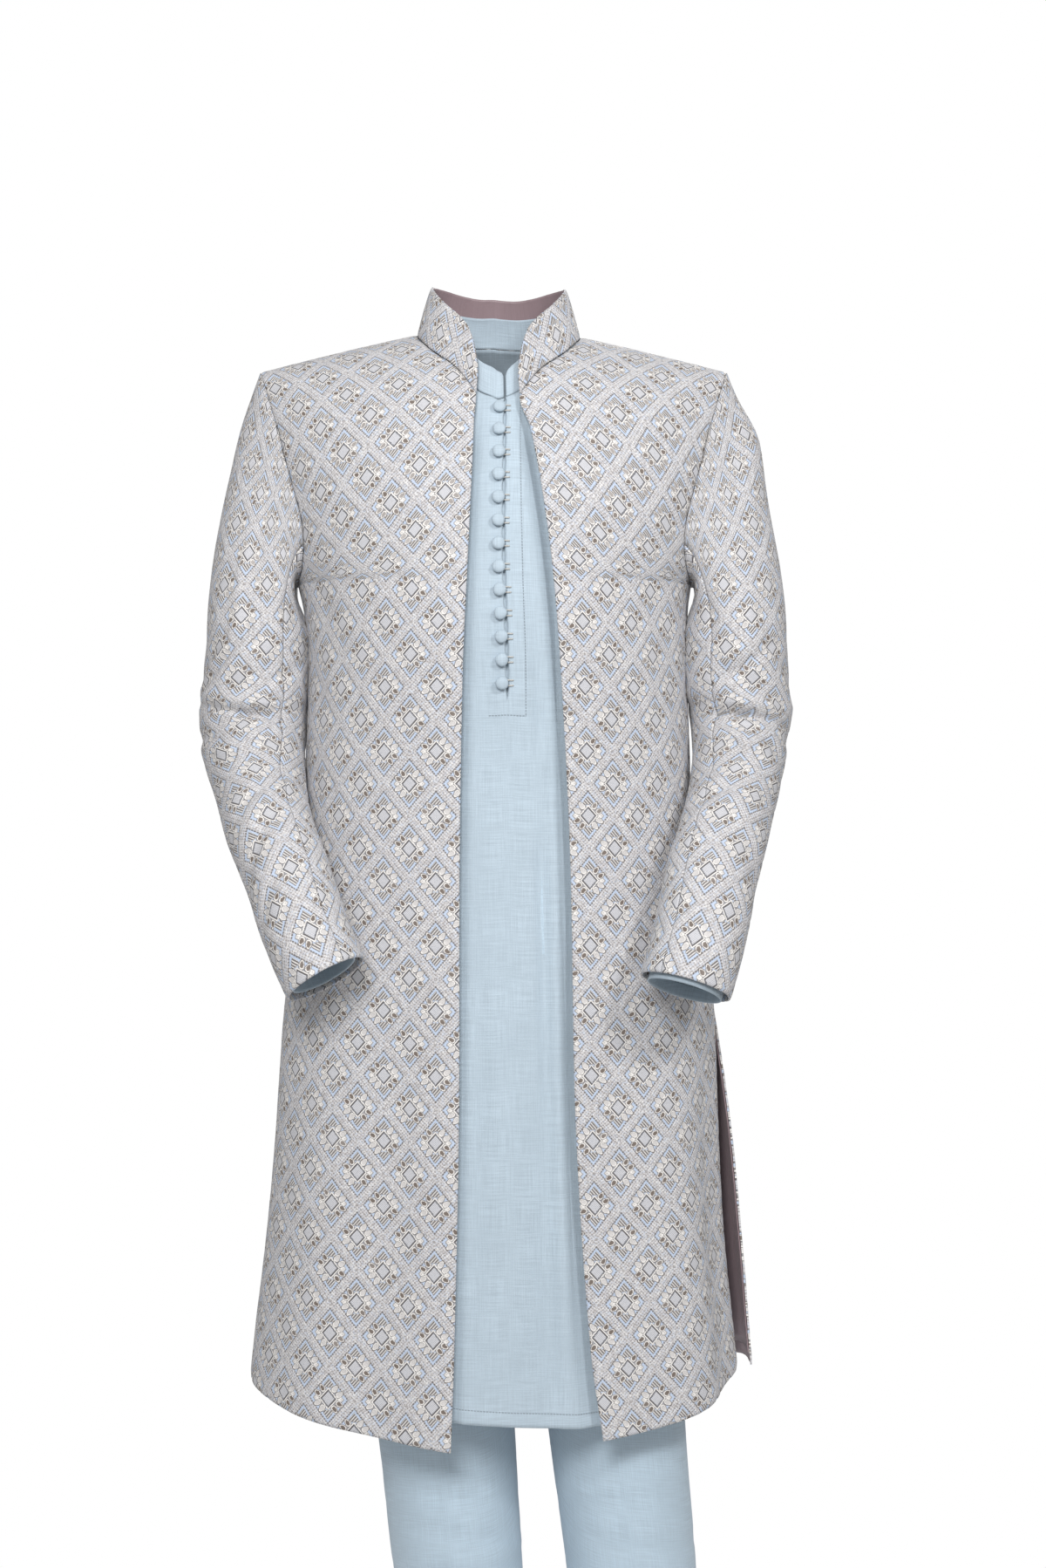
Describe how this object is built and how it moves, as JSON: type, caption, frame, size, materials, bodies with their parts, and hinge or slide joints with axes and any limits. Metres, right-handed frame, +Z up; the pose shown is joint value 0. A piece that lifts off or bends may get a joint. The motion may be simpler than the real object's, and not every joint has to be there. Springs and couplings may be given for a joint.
{
  "type": "prince coat set",
  "caption": "Open embroidered long coat with a stand collar over a plain kurta with a buttoned neck slit and slim trousers, in the hollow form they have when worn.",
  "frame": {"origin": "between the two neck points, where the shoulder seams meet the collar: the level at which the shoulders carry the coat", "axes": "+Z up, +X towards the wearer's left, the fronts face -Y"},
  "size_m": [0.5618, 0.331, 1.4447],
  "materials": {
    "brocade": "all-over thread embroidery in a diamond trellis, off-white, taupe and blue on pale blue",
    "lining": "dusty mauve satin",
    "kurta_cloth": "pale blue slub weave with a soft sheen",
    "trouser_cloth": "matte blue plain weave",
    "thread": "twisted off-white cord"
  },
  "bodies": {
    "root": {"button_1": "kurta_cloth", "button_10": "kurta_cloth", "button_11": "kurta_cloth", "button_12": "kurta_cloth", "button_13": "kurta_cloth", "button_2": "kurta_cloth", "button_3": "kurta_cloth", "button_4": "kurta_cloth", "button_5": "kurta_cloth", "button_6": "kurta_cloth", "button_7": "kurta_cloth", "button_8": "kurta_cloth", "button_9": "kurta_cloth", "coat_back": "brocade", "coat_back_lining": "lining", "coat_collar": "brocade", "coat_front_left": "brocade", "coat_front_right": "brocade", "coat_sleeve_left_under": "brocade", "coat_sleeve_left_upper": "brocade", "coat_sleeve_right_under": "brocade", "coat_sleeve_right_upper": "brocade", "kurta_back": "kurta_cloth", "kurta_collar": "kurta_cloth", "kurta_front": "kurta_cloth", "kurta_placket": "kurta_cloth", "kurta_sleeve_left": "kurta_cloth", "kurta_sleeve_right": "kurta_cloth", "loop_1": "thread", "loop_10": "thread", "loop_11": "thread", "loop_12": "thread", "loop_13": "thread", "loop_2": "thread", "loop_3": "thread", "loop_4": "thread", "loop_5": "thread", "loop_6": "thread", "loop_7": "thread", "loop_8": "thread", "loop_9": "thread", "trouser_left_back": "trouser_cloth", "trouser_left_front": "trouser_cloth", "trouser_right_back": "trouser_cloth", "trouser_right_front": "trouser_cloth", "trouser_waistband": "trouser_cloth"}
  },
  "joints": []
}
